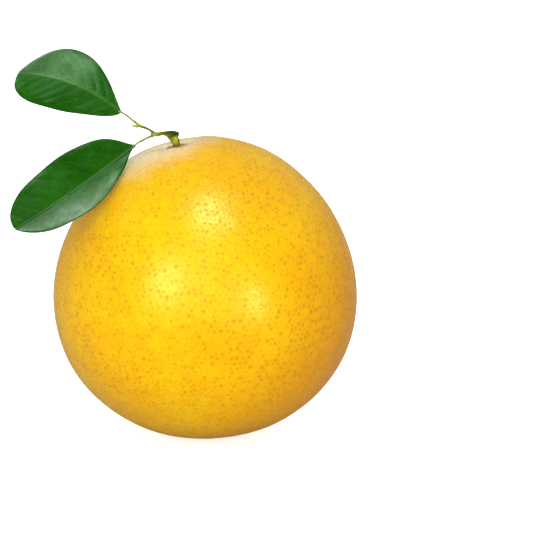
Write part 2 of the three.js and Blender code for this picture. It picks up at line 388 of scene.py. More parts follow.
def makeRind():
    look = rindLooks
    material, tree, shader = newMaterial("grapefruitRind")
    where = objectPlace(tree)
    patches = placeGroup(tree, mottle, (-1300, 300), Vector=where, Broad=34.0, Fine=240.0, Share=0.3)
    colour = mixColour(tree, patches, look["yellow"], look["gold"], (-1000, 300))

    # lighter grain between the pores
    cells = addNode(tree, "ShaderNodeTexVoronoi", (-1300, 550))
    join(tree, where, cells.inputs["Vector"])
    cells.inputs["Scale"].default_value = look["cellScale"]
    cellMask = spread(tree, cells.outputs["Distance"], 0.1, 0.6, look["cellShow"], 0.0, (-1100, 550))
    colour = mixColour(tree, cellMask, colour, look["cell"], (-850, 400))

    # darker, warmer orange low down on the +X side: painted shade with a painted warm reflection
    paintedShadeWay = addNode(tree, "ShaderNodeVectorMath", (-1300, 0), operation="DOT_PRODUCT")
    join(tree, where, paintedShadeWay.inputs[0])
    paintedShadeWay.inputs[1].default_value = look["paintedShadeWay"]
    paintedWarmShade = spread(tree, paintedShadeWay.outputs["Value"], look["paintedShadeFrom"], look["paintedShadeFull"],
                   0.0, look["paintedShadeShow"], (-1100, 0))
    colour = mixColour(tree, paintedWarmShade, colour, look["orange"], (-700, 250))

    # paler and flecked round the stem and along the upper-left rim: partly the skin's own drier colour,
    # partly a painted reflection of the bright surroundings
    palePoint = fruitCentre + stemAxis * skinRadius(stemAxis) + look["paleShift"]
    reach = distanceTo(tree, where, palePoint, (-1300, -200))
    flecks = placeGroup(tree, mottle, (-1300, -350), Vector=where, Broad=120.0, Fine=420.0, Share=0.4)
    ragged = mathNode(tree, "MULTIPLY", flecks, look["paleRagged"], (-1100, -350))
    paleSkinAndSheen = spread(tree, mathNode(tree, "ADD", reach, ragged, (-950, -250)),
                      look["paleFull"], look["paleEnd"], look["paleShow"], 0.0, (-800, -200))
    paleSkin = mixColour(tree, flecks, look["pale"], look["paleFleck"], (-800, -400))
    colour = mixColour(tree, paleSkinAndSheen, colour, paleSkin, (-500, 250))

    # oil pores
    poreMask = spread(tree, readAttribute(tree, "pore", (-1100, -600)),
                      0.0, look["poreFull"], 0.0, look["poreShow"], (-900, -600))
    notPale = mathNode(tree, "SUBTRACT", 1.0, paleSkinAndSheen, (-700, -500))
    poreShown = mathNode(tree, "MULTIPLY", poreMask, notPale, (-600, -550))
    colour = mixColour(tree, poreShown, colour, look["poreColour"], (-300, 250))

    # the scar at the blossom end, and stray specks
    blossom = fruitCentre - stemAxis * skinRadius(-stemAxis)
    scarMask = spread(tree, distanceTo(tree, where, blossom, (-1100, -850)),
                      look["scarFull"], look["scarEnd"], look["scarShow"], 0.0, (-900, -850))
    stray = placeGroup(tree, specks, (-900, -1050), Vector=where, Scale=140.0, Size=0.1, Rarity=0.9)
    strayMask = mathNode(tree, "MULTIPLY", stray, look["strayShow"], (-700, -1050))
    blemish = mathNode(tree, "MAXIMUM", scarMask, strayMask, (-500, -900))
    colour = mixColour(tree, blemish, colour, look["scar"], (0, 250))
    join(tree, colour, shader.inputs["Base Color"])

    # fine grain in the gloss, calmer on the pale skin
    grain = fineNoise(tree, where, look["grainScale"], 2, (-900, -1300))
    roughness = spread(tree, grain, 0.3, 0.7, look["smoothest"], look["roughest"], (-500, -1200))
    duller = mathNode(tree, "MULTIPLY", poreMask, look["poreDull"], (-300, -1300))
    join(tree, mathNode(tree, "ADD", roughness, duller, (0, -1200)), shader.inputs["Roughness"])
    poreDip = mathNode(tree, "MULTIPLY", poreMask, look["poreDip"], (0, -700))
    height = mathNode(tree, "SUBTRACT", grain, poreDip, (200, -600))
    calmed = mathNode(tree, "MULTIPLY", paleSkinAndSheen, 1.05, (0, -850))
    calmed = mathNode(tree, "SUBTRACT", 1.0, calmed, (200, -850))
    height = mathNode(tree, "MULTIPLY", height, calmed, (350, -700))
    addBump(tree, shader, height, look["grainStrength"], look["grainDepth"])
    shader.inputs["Specular IOR Level"].default_value = look["gloss"]
    shader.inputs["Specular Tint"].default_value = look["sheen"]
    return material


fruitPiece = makeFruit(makeRind())


woodLooks = {
    "twigDark": paint(42, 62, 4),
    "twigLight": paint(76, 96, 16),
    "fresh": paint(190, 184, 58),
    "freshGreen": paint(142, 150, 30),
    "brown": paint(112, 80, 28),
    "stalkGreen": paint(116, 128, 56),
    "stalkPale": paint(160, 168, 98),
    "budGreen": paint(150, 164, 70),
    "budTip": paint(92, 84, 34),
    "button": paint(196, 150, 90),
    "buttonDark": paint(156, 108, 52),
    "dotShow": 0.4,
    "grainStrength": 0.6,
    "smoothest": 0.42,
    "roughest": 0.58,
    "gloss": 0.18,
}


def addGrain(tree, shader, where, scale, depth):
    grain = fineNoise(tree, where, scale, 2, (-600, -700))
    addBump(tree, shader, grain, woodLooks["grainStrength"], depth)
    roughness = spread(tree, grain, 0.3, 0.7, woodLooks["smoothest"], woodLooks["roughest"], (0, -700))
    join(tree, roughness, shader.inputs["Roughness"])
    shader.inputs["Specular IOR Level"].default_value = woodLooks["gloss"]


def addDots(tree, where, colour, dotColour, scale):
    dots = placeGroup(tree, specks, (-900, -500), Vector=where, Scale=scale, Size=0.3, Rarity=0.75)
    dotMask = mathNode(tree, "MULTIPLY", dots, woodLooks["dotShow"], (-600, -500))
    return mixColour(tree, dotMask, colour, dotColour, (200, 100))


def makeBark():
    material, tree, shader = newMaterial("twigBark")
    where = objectPlace(tree)
    patches = placeGroup(tree, mottle, (-900, 200), Vector=where, Broad=420.0, Fine=2200.0, Share=0.4)
    dark = mixColour(tree, patches, woodLooks["twigDark"], woodLooks["twigLight"], (-600, 300))
    light = mixColour(tree, patches, woodLooks["freshGreen"], woodLooks["fresh"], (-600, 100))
    colour = mixColour(tree, readAttribute(tree, "fresh", (-900, -100)), dark, light, (-300, 200))
    patchy = spread(tree, patches, 0, 1, 0.6, 1.0, (-600, -300))
    brownMask = mathNode(tree, "MULTIPLY", readAttribute(tree, "brown", (-900, -300)), patchy, (-300, -200))
    colour = mixColour(tree, brownMask, colour, woodLooks["brown"], (0, 100))
    colour = addDots(tree, where, colour, woodLooks["fresh"], 1700.0)
    join(tree, colour, shader.inputs["Base Color"])
    addGrain(tree, shader, where, 2200, 0.1 * mm)
    return material


# One skin for leaf stalks, buds and the button: two mottled colours, and a third that
# comes or goes along the piece, from startShow to endShow between the two distances in mm.
def makeStalkSkin(name, low, high, third, between, startShow, endShow, grainScale):
    material, tree, shader = newMaterial(name)
    where = objectPlace(tree)
    patches = placeGroup(tree, mottle, (-900, 200), Vector=where, Broad=400.0, Fine=1900.0, Share=0.4)
    colour = mixColour(tree, patches, woodLooks[low], woodLooks[high], (-500, 200))
    colour = addDots(tree, where, colour, woodLooks[high], 1800.0)
    thirdMask = spread(tree, readAttribute(tree, "run", (-900, -400)), *between, startShow, endShow,
                       (-600, -400))
    colour = mixColour(tree, thirdMask, colour, woodLooks[third], (400, 100))
    join(tree, colour, shader.inputs["Base Color"])
    addGrain(tree, shader, where, grainScale, 0.08 * mm)
    return material


barkMaterial = makeBark()
stalkMaterial = makeStalkSkin("leafStalkSkin", "stalkGreen", "stalkPale", "fresh", (0, 1.2), 0.6, 0, 2400)
budMaterial = makeStalkSkin("budScale", "budGreen", "stalkPale", "budTip", (1.4, 2.5), 0, 0.8, 2600)
buttonMaterial = makeStalkSkin("buttonSkin", "button", "buttonDark", "buttonDark", (0.6, 2), 0.9, 0.1, 1500)


button = {
    "height": 0.7 * mm,
    "radius": 4.2 * mm,
    "lobes": 5,
    "lobeDepth": 0.5 * mm,
    "ragged": 0.14 * mm,
    "ridges": 15,
    "ridgeHeight": 0.07 * mm,
    "lumps": 0.08 * mm,
    "overSkin": 0.05 * mm,
    "segments": 80,
    "rings": 24,
}


def makeButton():
    bm = bmesh.new()
    run = bm.verts.layers.float.new("run")
    bmesh.ops.create_uvsphere(bm, u_segments=button["segments"], v_segments=button["rings"], radius=1)
    for vert in bm.verts:
        flat = math.hypot(vert.co.x, vert.co.y)
        around = math.atan2(vert.co.y, vert.co.x)
        lobed = 0.5 - 0.5 * math.cos(button["lobes"] * around)
        edge = button["radius"] - button["lobeDepth"] * lobed ** 0.7
        edge += button["ragged"] * wobble(Vector((math.cos(around), math.sin(around), 0)), 0.16, 5)
        away = min(1, flat) * edge
        turn = away / fruitRadius
        direction = stemTurn @ Vector((math.sin(turn) * math.cos(around), math.sin(turn) * math.sin(around),
                                       math.cos(turn)))
        up = vert.co.z
        lift = 0.25 + 0.75 * up ** 0.8 if up > 0 else 0.25 + 0.25 * up
        height = button["height"] * lift * (1.15 - 0.5 * min(1, flat) ** 2)
        if up > 0:
            height += button["ridgeHeight"] * math.sin(around * button["ridges"] + 1) * hump(flat - 0.6, 0.3)
            height += button["lumps"] * wobble(direction, 0.012, 6)
        radius = skinRadius(direction) + skinRelief(direction) * 0.6 + height + button["overSkin"]
        vert.co = fruitCentre + direction * radius
        vert[run] = away / mm
    bmesh.ops.recalc_face_normals(bm, faces=bm.faces[:])
    print("button:", len(bm.faces), "faces")
    return finishPiece("stemButton", bm, [buttonMaterial], "calyx")


buttonPiece = makeButton()


stem = {
    "clearance": 0.3 * mm,
    "stalkRadius": 1.35 * mm,
    "stalkLength": 4.2 * mm,
    "twigRadius": 1 * mm,
    "neckRadius": 0.64 * mm,
    "lowerNodeRadius": 0.8 * mm,
    "shootRadius": 0.42 * mm,
    "upperNodeRadius": 0.75 * mm,
    "leafStalkRadius": 0.4 * mm,
}
buttonTop = skinRadius(stemAxis) + stem["clearance"] + button["height"]
stalkFoot = fruitCentre + stemAxis * (buttonTop + stem["clearance"])
stalkTop = stalkFoot + stemAxis * stem["stalkLength"]


def fromStalkTop(x, y, z):  # in mm, as the twig and the leaves are placed
    return stalkTop + Vector((x, y, z)) * mm


cutEnd = fromStalkTop(1.5, 1, -0.4)
overStalk = fromStalkTop(-0.5, 0, 0.1)
neck = fromStalkTop(-4.2, -1.2, 0.2)
lowerNode = fromStalkTop(-6.5, -3, 0.2)
shootBend = fromStalkTop(-8.8, -3.8, 2.1)
upperNode = fromStalkTop(-12.8, -4.5, 3.7)


def alongLine(points, share):  # smooth curve through the points, share from 0 to 1
    spans = len(points) - 1
    place = min(share * spans, spans - 1e-6)
    i = int(place)
    t = place - i
    p1, p2 = points[i], points[i + 1]
    p0 = points[i - 1] if i > 0 else p1 * 2 - p2
    p3 = points[i + 2] if i + 2 <= spans else p2 * 2 - p1
    return 0.5 * ((2 * p1) + (p2 - p0) * t + (2 * p0 - 5 * p1 + 4 * p2 - p3) * t * t
                  + (3 * p1 - p0 - 3 * p2 + p3) * t * t * t)


def growLimb(bm, line, girths, stations, sides, ridges, seed):  # rings drawn out along a line
    turn = bm.verts.layers.float.get("turn") or bm.verts.layers.float.new("turn")
    run = bm.verts.layers.float.get("run") or bm.verts.layers.float.new("run")
    length = sum((b - a).length for a, b in zip(line, line[1:]))

    def placeRing(verts, share):
        middle = alongLine(line, share)
        ahead = (alongLine(line, min(1, share + 0.01)) - alongLine(line, max(0, share - 0.01))).normalized()
        side = Vector((0, 1, 0)).cross(ahead).normalized()
        other = ahead.cross(side).normalized()
        girth = alongLine([Vector((g, 0, 0)) for g in girths], share).x
        for vert in verts:
            out = side * math.cos(vert[turn]) + other * math.sin(vert[turn])
            grain = 1 + ridges * math.sin(vert[turn] * 5 + seed + share * 3)
            grain += ridges * 1.6 * wobble(middle + out * girth, 0.9 * mm, seed)
            vert.co = middle + out * girth * grain
            vert[run] = share * length / mm

    ring = bmesh.ops.create_circle(bm, cap_ends=True, segments=sides, radius=1)["verts"]
    for vert in ring:
        vert[turn] = math.atan2(vert.co.y, vert.co.x)
    face = ring[0].link_faces[0]
    placeRing(ring, 0)
    for i in range(1, stations + 1):
        grown = bmesh.ops.extrude_face_region(bm, geom=[face])["geom"]
        if i > 1:  # the first ring's face stays as the end, later ones would be walls inside
            bmesh.ops.delete(bm, geom=[face], context="FACES_ONLY")
        face = next(item for item in grown if isinstance(item, bmesh.types.BMFace))
        placeRing([item for item in grown if isinstance(item, bmesh.types.BMVert)], i / stations)


twig = {
    "intoButton": 0.4 * mm,
    "stalkGirths": (1.1, 0.96, 1, 1.05, 0.8),  # shares of the stalk's radius along it
    "gussetGirths": (0.6, 0.8, 0.8, 0.6),
    "stations": 60,
    "sides": 24,
    "ridges": 0.04,
    "voxel": 0.09 * mm,
    "smoothing": 5,
    "grain": 0.05 * mm,
    "grainSize": 0.35 * mm,
    "footBrown": (0.3 * mm, 1.7 * mm),  # where the brown at the foot and at the cut end fades
    "endBrown": (0.25 * mm, 0.9 * mm),
    "freshBelow": 0.75,  # green-yellow on the underside, at the nodes and on the stalk
    "lowerKnot": 2.2 * mm,
    "upperKnot": 2 * mm,
    "stalkFresh": (2.9 * mm, 4.2 * mm),
    # painted shade: the stalk's green-yellow dims towards its -X side, down to this share
    "stalkShade": 0.55,
    "stalkShadeAcross": (-1.4 * mm, 0.3 * mm),
}
twigFoot = stalkFoot - stemAxis * twig["intoButton"]


def fusedSkin(source, voxel, smoothing):  # one closed skin over limbs that run into each other
    bmesh.ops.recalc_face_normals(source, faces=source.faces[:])
    mesh = bpy.data.meshes.new("fusing")
    source.to_mesh(mesh)
    source.free()
    shell = bpy.data.objects.new("fusing", mesh)
    scene.collection.objects.link(shell)
    fuse = shell.modifiers.new("fuse", "REMESH")
    fuse.mode = "VOXEL"
    fuse.voxel_size = voxel
    evaluated = shell.evaluated_get(bpy.context.evaluated_depsgraph_get())
    bm = bmesh.new()
    bm.from_mesh(evaluated.to_mesh())
    evaluated.to_mesh_clear()
    bpy.data.objects.remove(shell)
    for step in range(smoothing):
        bmesh.ops.smooth_vert(bm, verts=bm.verts[:], factor=0.5,
                              use_axis_x=True, use_axis_y=True, use_axis_z=True)
    return bm


def growTwig(bm):  # the stalk, the gusset under the bend, and the shoot with its cut end
    stalk = [twigFoot, stalkFoot.lerp(stalkTop, 0.12), stalkFoot.lerp(stalkTop, 0.5),
             fromStalkTop(-0.2, 0, -1), fromStalkTop(-0.3, 0, -0.1)]
    growLimb(bm, stalk, [stem["stalkRadius"] * share for share in twig["stalkGirths"]],
             twig["stations"] // 2, twig["sides"], twig["ridges"], 2)
    gusset = [fromStalkTop(0.3, 0, -3.6), fromStalkTop(-0.5, 0, -2.2), fromStalkTop(-1.5, -0.1, -0.9),
              fromStalkTop(-2.6, -0.5, 0)]
    growLimb(bm, gusset, [stem["stalkRadius"] * share for share in twig["gussetGirths"]],
             twig["stations"] // 3, twig["sides"], twig["ridges"] * 0.75, 6)
    shoot = [cutEnd, overStalk, fromStalkTop(-2.4, -0.5, 0.05), neck, lowerNode, shootBend, upperNode]
    girths = [stem["twigRadius"] * 0.82, stem["twigRadius"], stem["twigRadius"] * 0.98, stem["neckRadius"],
              stem["lowerNodeRadius"], stem["shootRadius"], stem["upperNodeRadius"] * 0.85]
    growLimb(bm, shoot, girths, twig["stations"], twig["sides"], twig["ridges"], 4)


def makeTwig():
    bm = bmesh.new()
    growTwig(bm)
    bm = fusedSkin(bm, twig["voxel"], twig["smoothing"])
    brown = bm.verts.layers.float.new("brown")
    fresh = bm.verts.layers.float.new("fresh")
    endWay = (cutEnd - overStalk).normalized()
    for vert in bm.verts:
        vert.normal_update()
        here = vert.co.copy()
        grain = wobble(Vector((here.x * 0.4, here.y, here.z * 0.6)), twig["grainSize"], 12)
        vert.co = here + vert.normal * twig["grain"] * grain
        fromFoot = (here - twigFoot).dot(stemAxis)
        footBrown = 1 - easeBetween(*twig["footBrown"], fromFoot)
        endBrown = 1 - easeBetween(*twig["endBrown"], (cutEnd - here).dot(endWay))
        vert[brown] = max(footBrown, endBrown)
        below = easeBetween(-0.1, 0.9, -vert.normal.z)
        knot = hump((here - lowerNode).length, twig["lowerKnot"])
        knot += hump((here - upperNode).length, twig["upperKnot"])
        across = (here - twigFoot - stemAxis * fromFoot).x
        onStalk = 1 - easeBetween(*twig["stalkFresh"], fromFoot)
        # painted shade across the stalk, lighter towards +X
        lit = easeBetween(*twig["stalkShadeAcross"], across)
        onStalk *= twig["stalkShade"] + (1 - twig["stalkShade"]) * lit
        vert[fresh] = min(1, max(below * twig["freshBelow"], knot * (0.7 + 0.3 * below), onStalk))
    print("twig:", len(bm.faces), "faces")
    return finishPiece("woodyTwig", bm, [barkMaterial], "twig")


twigPiece = makeTwig()


leafShared = {
    "thickness": 0.42 * mm,
    "edgeThickness": 0.2 * mm,
    "lengthRows": 150,
    "widthRows": 68,
    "veinCount": 9.5,
    "veinLean": 0.62,
    "veinSweep": 1.6,
    "veinWander": 0.0175,
    "veinWidth": 0.32 * mm,
    "veinDepth": 0.018 * mm,
    "quilt": 0.04 * mm,  # swelling between the side veins
    "ribGroove": 0.1 * mm,
    "ribRidge": 0.4 * mm,  # how far the midrib stands out underneath
    "ribWidth": 0.55 * mm,
    "creasePlace": 0.75 * mm,
    "creaseWidth": 0.4 * mm,
}
upperLeaf = {
    "start": fromStalkTop(-18.5, -5, 8.4),
    "heading": math.radians(167),
    "rise": math.radians(23),
    "roll": math.radians(-54),
    "length": 41.5 * mm,
    "droop": 7.4 * mm,
    "bow": -3.1 * mm,
    "twist": math.radians(4),
    "wedge": 0.004,  # share of the length over which the foot widens
    "crease": 0,
    "wave": 0.2 * mm,
    "seed": 21,
    # halves as seen from the foot: full draws the widest place to the tip, blunt to the foot
    "right": {"width": 13.77 * mm, "fold": math.radians(-8), "full": 1.16, "blunt": 0.65, "curl": -0.3 * mm},
    "left": {"width": 11.95 * mm, "fold": math.radians(-8), "full": 0.75, "blunt": 0.42, "curl": 0},
}
lowerLeaf = {
    "start": fromStalkTop(-13.5, -8, -2.9),
    "heading": math.radians(206),
    "rise": math.radians(-29.5),
    "roll": math.radians(-39),
    "length": 52 * mm,
    "droop": 0.9 * mm,
    "bow": 1 * mm,
    "twist": math.radians(8),
    "wedge": 0.07,
    "crease": 0.05 * mm,
    "wave": 0.25 * mm,
    "seed": 33,
    "right": {"width": 13.5 * mm, "fold": math.radians(14), "full": 0.46, "blunt": 0.45, "curl": 0},
    "left": {"width": 14.2 * mm, "fold": math.radians(8), "full": 1.13, "blunt": 0.68, "curl": -1.1 * mm},
}


def bladeTurn(leaf):
    return (Matrix.Rotation(leaf["heading"], 3, "Z") @ Matrix.Rotation(-leaf["rise"], 3, "Y")
            @ Matrix.Rotation(leaf["roll"], 3, "X"))


def halfOf(leaf, side):
    return leaf["right"] if side < 0 else leaf["left"]


def bladeReach(leaf, share, side):  # distance from the midrib to this place across the blade
    half = halfOf(leaf, side)
    full, blunt = half["full"], half["blunt"]
    widest = full / (full + blunt)
    peak = widest ** full * (1 - widest) ** blunt
    outline = max(0, share) ** full * max(0, 1 - share) ** blunt / peak
    outline *= 1 - math.exp(-((share / leaf["wedge"]) ** 1.2))
    narrowest = stem["leafStalkRadius"] * 1.1
    return abs(side) * (narrowest + (half["width"] - narrowest) * outline)


def bladePoint(leaf, share, side):
    way = -1 if side < 0 else 1
    half = halfOf(leaf, side)
    reach = bladeReach(leaf, share, side)
    across = way * reach * math.cos(half["fold"])
    lift = reach * math.sin(half["fold"]) - half["curl"] * (reach / (10 * mm)) ** 2
    lift += leaf["wave"] * side * side * math.sin(share * 17 + way * 1.3 + leaf["seed"])
    turn = leaf["twist"] * share
    return Vector((
        leaf["length"] * share,
        leaf["bow"] * 4 * share * (1 - share) + across * math.cos(turn) - lift * math.sin(turn),
        -leaf["droop"] * share ** 2 + across * math.sin(turn) + lift * math.cos(turn),
    ))


def bladeNormal(leaf, share, side):
    step, sideStep = 0.004, 0.01
    alongWay = bladePoint(leaf, min(1, share + step), side) - bladePoint(leaf, max(0, share - step), side)
    acrossWay = (bladePoint(leaf, share, min(1, side + sideStep))
                 - bladePoint(leaf, share, max(-1, side - sideStep)))
    return alongWay.cross(acrossWay).normalized()


def veinsAt(leaf, share, side):  # side vein, swelling between veins and midrib, each 0 to 1
    reach = bladeReach(leaf, share, side)
    r = reach / leaf["length"]
    wander = leafShared["veinWander"] * wobble(Vector((share * 6, side * 2, leaf["seed"])), 1, 4)
    phase = share - leafShared["veinLean"] * r - leafShared["veinSweep"] * r * r + wander
    phase = phase * leafShared["veinCount"] + (0.5 if side < 0 else 0)  # the two halves alternate
    beside = abs((phase % 1) - 0.5) * 2  # 1 on a vein, 0 midway
    gap = (1 - beside) / leafShared["veinCount"] * leaf["length"] / 2
    fade = easeBetween(0.0, 0.06, r) * 0.3 + 0.7
    fade *= 1 - 0.75 * easeBetween(0.7, 0.97, abs(side))
    vein = hump(gap, leafShared["veinWidth"]) * fade
    between = math.sin(math.pi * (1 - beside) * 0.5)
    between *= easeBetween(0, 0.05, r) * (1 - easeBetween(0.8, 1, abs(side)))
    rib = hump(reach, leafShared["ribWidth"] * (1 - 0.6 * share))
    return vein, between, rib


def makeBlade(name, leaf, materials, node):
    bm = bmesh.new()
    shareOf, sideOf, veinOf, ribOf, creaseOf = (
        bm.verts.layers.float.new(label) for label in ("share", "side", "vein", "rib", "crease"))
    bmesh.ops.create_grid(bm, x_segments=leafShared["lengthRows"], y_segments=leafShared["widthRows"],
                          size=0.5)
    for vert in bm.verts:
        vert[shareOf] = 0.5 - 0.5 * math.cos(math.pi * (vert.co.x + 0.5))
        across = vert.co.y * 2  # rows lie closer together near the midrib
        vert[sideOf] = math.copysign(abs(across) ** 1.25, across)
    grown = bmesh.ops.extrude_face_region(bm, geom=bm.faces[:])["geom"]
    topVerts = {item for item in grown if isinstance(item, bmesh.types.BMVert)}
    turn = bladeTurn(leaf)
    for vert in bm.verts:
        share, side = vert[shareOf], vert[sideOf]
        vein, between, rib = veinsAt(leaf, share, side)
        edge = easeBetween(0.86, 1, abs(side))
        half = (leafShared["thickness"] * (1 - edge) + leafShared["edgeThickness"] * edge) / 2
        if vert in topVerts:
            raised = half + leafShared["quilt"] * between
            raised -= leafShared["veinDepth"] * vein + leafShared["ribGroove"] * rib
            if side > 0 and leaf["crease"]:  # the folded side dips beside the midrib
                besideRib = bladeReach(leaf, share, side) - leafShared["creasePlace"]
                # this mask also paints the groove darker in the skin: painted shade
                vert[creaseOf] = hump(besideRib, leafShared["creaseWidth"])
                raised -= leaf["crease"] * vert[creaseOf]
        else:
            raised = leafShared["quilt"] * between * 0.6 - half
            raised -= leafShared["veinDepth"] * 2 * vein + leafShared["ribRidge"] * rib
        vert[veinOf] = vein
        vert[ribOf] = rib
        here = bladePoint(leaf, share, side) + bladeNormal(leaf, share, side) * raised
        vert.co = leaf["start"] + turn @ here
    uv = bm.loops.layers.uv.new("blade")
    for face in bm.faces:
        face.material_index = 0 if all(vert in topVerts for vert in face.verts) else 1
        for loop in face.loops:
            loop[uv].uv = (loop.vert[shareOf], loop.vert[sideOf] * 0.5 + 0.5)
    bmesh.ops.recalc_face_normals(bm, faces=bm.faces[:])
    print(name + ":", len(bm.faces), "faces")
    return finishPiece(name, bm, materials, node)


leafLooks = {
    "deep": paint(16, 74, 1),
    "mid": paint(28, 92, 5),
    "fresh": paint(74, 132, 52),
    "rib": paint(86, 132, 52),
    "vein": paint(48, 108, 28),
    "edge": paint(14, 50, 4),
    "under": paint(112, 146, 84),
    "underVein": paint(150, 174, 112),
    "netScale": 900,
    "netShow": 0.16,
    "veinShow": 0.3,
    "ribShow": 0.35,
    # painted shade in the groove beside the midrib
    "creasePaintedShade": 0.8,
    "creaseDull": 0.4,
    "marginFrom": 0.478,  # from the midrib at 0 to the rim at 0.5
    "marginFull": 0.495,
    "marginShow": 0.7,
    "dotShow": 0.25,
    "topRoughness": 0.25,
    "topGrain": 0.06,
    "underRoughness": 0.6,
    "underGrain": 0.5,
    "grainDepth": 0.08 * mm,
    "gloss": 0.42,
    "sheen": (0.57, 1, 0.55, 1),
}


def makeLeafSkin(name, low, high, veinColour, ribColour, roughness, grain):
    look = leafLooks
    material, tree, shader = newMaterial(name)
    where = objectPlace(tree)
    patches = placeGroup(tree, mottle, (-1100, 300), Vector=where, Broad=110.0, Fine=700.0, Share=0.35)
    colour = mixColour(tree, patches, look[low], look[high], (-800, 300))

    # the finest net of veins
    net = addNode(tree, "ShaderNodeTexVoronoi", (-1100, 0), feature="DISTANCE_TO_EDGE")
    join(tree, where, net.inputs["Vector"])
    net.inputs["Scale"].default_value = look["netScale"]
    netMask = spread(tree, net.outputs["Distance"], 0.0, 0.12, 1.0, 0.0, (-900, 0))

    # darker line at the margin
    uvMap = addNode(tree, "ShaderNodeUVMap", (-1400, -400), uv_map="blade")
    split = addNode(tree, "ShaderNodeSeparateXYZ", (-1200, -400))
    join(tree, uvMap.outputs[0], split.inputs[0])
    centred = mathNode(tree, "SUBTRACT", split.outputs[1], 0.5, (-1000, -450))
    outward = mathNode(tree, "ABSOLUTE", centred, None, (-850, -450))
    margin = spread(tree, outward, look["marginFrom"], look["marginFull"], 0.0, look["marginShow"],
                    (-650, -450))

    vein = readAttribute(tree, "vein", (-1100, -200))
    rib = readAttribute(tree, "rib", (-1100, -300))
    # the groove beside the midrib, painted darker: painted shade
    crease = readAttribute(tree, "crease", (-1100, -550))
    dots = placeGroup(tree, specks, (-900, -650), Vector=where, Scale=500.0, Size=0.16, Rarity=0.8)
    layers = (
        (netMask, look["netShow"], look[veinColour]),
        (vein, look["veinShow"], look[veinColour]),
        (rib, look["ribShow"], look[ribColour]),
        (crease, look["creasePaintedShade"], look["edge"]),
        (margin, 1.0, look["edge"]),
        (dots, look["dotShow"], look[ribColour]),
    )
    for i, (mask, show, layerColour) in enumerate(layers):
        shown = mathNode(tree, "MULTIPLY", mask, show, (-600 + i * 200, 50))
        colour = mixColour(tree, shown, colour, layerColour, (-500 + i * 200, 250))
    join(tree, colour, shader.inputs["Base Color"])

    sheenPatch = placeGroup(tree, mottle, (-600, -800), Vector=where, Broad=160.0, Fine=1200.0, Share=0.4)
    rough = spread(tree, sheenPatch, 0.0, 1.0, roughness - 0.05, roughness + 0.11, (-300, -800))
    creaseDull = mathNode(tree, "MULTIPLY", crease, look["creaseDull"], (-300, -950))
    join(tree, mathNode(tree, "ADD", rough, creaseDull, (-100, -800)), shader.inputs["Roughness"])
    height = mathNode(tree, "ADD", netMask, sheenPatch, (100, -700))
    addBump(tree, shader, height, grain, look["grainDepth"])
    shader.inputs["Specular IOR Level"].default_value = look["gloss"]
    shader.inputs["Specular Tint"].default_value = look["sheen"]
    return material


leafSkins = [
    makeLeafSkin("leafUpperSkin", "deep", "mid", "vein", "rib",
                 leafLooks["topRoughness"], leafLooks["topGrain"]),
    makeLeafSkin("leafUnderSkin", "under", "fresh", "underVein", "underVein",
                 leafLooks["underRoughness"], leafLooks["underGrain"]),
]
upperPiece = makeBlade("upperBlade", upperLeaf, leafSkins, "upper_leaf")
lowerPiece = makeBlade("lowerBlade", lowerLeaf, leafSkins, "lower_leaf")


leafStalk = {
    "intoBlade": 0.9 * mm,
    "bend": 0.3,  # share of the stalk that leaves the twig straight, and that meets the blade straight
    "lift": 0.25 * mm,
    "girths": (1.5, 1, 0.95, 0.8),
    "stations": 60,
    "sides": 24,
    "ridges": 0.04,
}
bud = {
    "length": 2 * mm,
    "radius": 0.5 * mm,
    "behind": 0.5 * mm,
    "girths": (0.8, 1.0, 0.75, 0.12),
    "stations": 36,
    "sides": 20,
    "ridges": 0.06,
}


def makeLeafStalk(name, foot, leaf, node):
    bladeWay = bladeTurn(leaf) @ Vector((1, 0, 0))
    end = leaf["start"] + bladeWay * leafStalk["intoBlade"]
    leaving = foot.lerp(end, leafStalk["bend"]) + Vector((0, 0, leafStalk["lift"]))
    arriving = end - bladeWay * (end - foot).length * leafStalk["bend"]
    girths = [stem["leafStalkRadius"] * share for share in leafStalk["girths"]]
    bm = bmesh.new()
    growLimb(bm, [foot, leaving, arriving, end], girths,
             leafStalk["stations"], leafStalk["sides"], leafStalk["ridges"], 7)
    bmesh.ops.recalc_face_normals(bm, faces=bm.faces[:])
    print(name + ":", len(bm.faces), "faces")
    return finishPiece(name, bm, [stalkMaterial], node)


def makeBud(name, foot, way, node):
    bm = bmesh.new()
    points = [foot + way * reach for reach in (-bud["behind"], 0, bud["length"] * 0.5, bud["length"])]
    girths = [bud["radius"] * share for share in bud["girths"]]
    growLimb(bm, points, girths, bud["stations"], bud["sides"], bud["ridges"], 9)
    bmesh.ops.recalc_face_normals(bm, faces=bm.faces[:])
    print(name + ":", len(bm.faces), "faces")
    return finishPiece(name, bm, [budMaterial], node)


shootWay = (upperNode - shootBend).normalized()
aboveShoot = Vector((0, 1, 0)).cross(shootWay).normalized()
seatSpread = stem["leafStalkRadius"] * 1.2 + bud["radius"] + stem["clearance"]
upperStalkFoot = upperNode + shootWay * -0.1 * mm + aboveShoot * seatSpread * 0.25
upperBudFoot = upperNode + aboveShoot * seatSpread * -0.4
lowerStalkFoot = lowerNode + unitVector(-0.75, -0.3, -0.5) * stem["lowerNodeRadius"] * 0.5
lowerBudFoot = lowerNode + unitVector(-0.1, -1, 0.15) * (stem["lowerNodeRadius"] + 0.2 * mm)
makeLeafStalk("upperLeafStalk", upperStalkFoot, upperLeaf, "upper_leaf_stalk")
makeLeafStalk("lowerLeafStalk", lowerStalkFoot, lowerLeaf, "lower_leaf_stalk")
makeBud("upperBud", upperBudFoot, (shootWay - aboveShoot * 0.15).normalized(), "upper_bud")
makeBud("lowerBud", lowerBudFoot, unitVector(-0.75, -0.65, 0.15), "lower_bud")


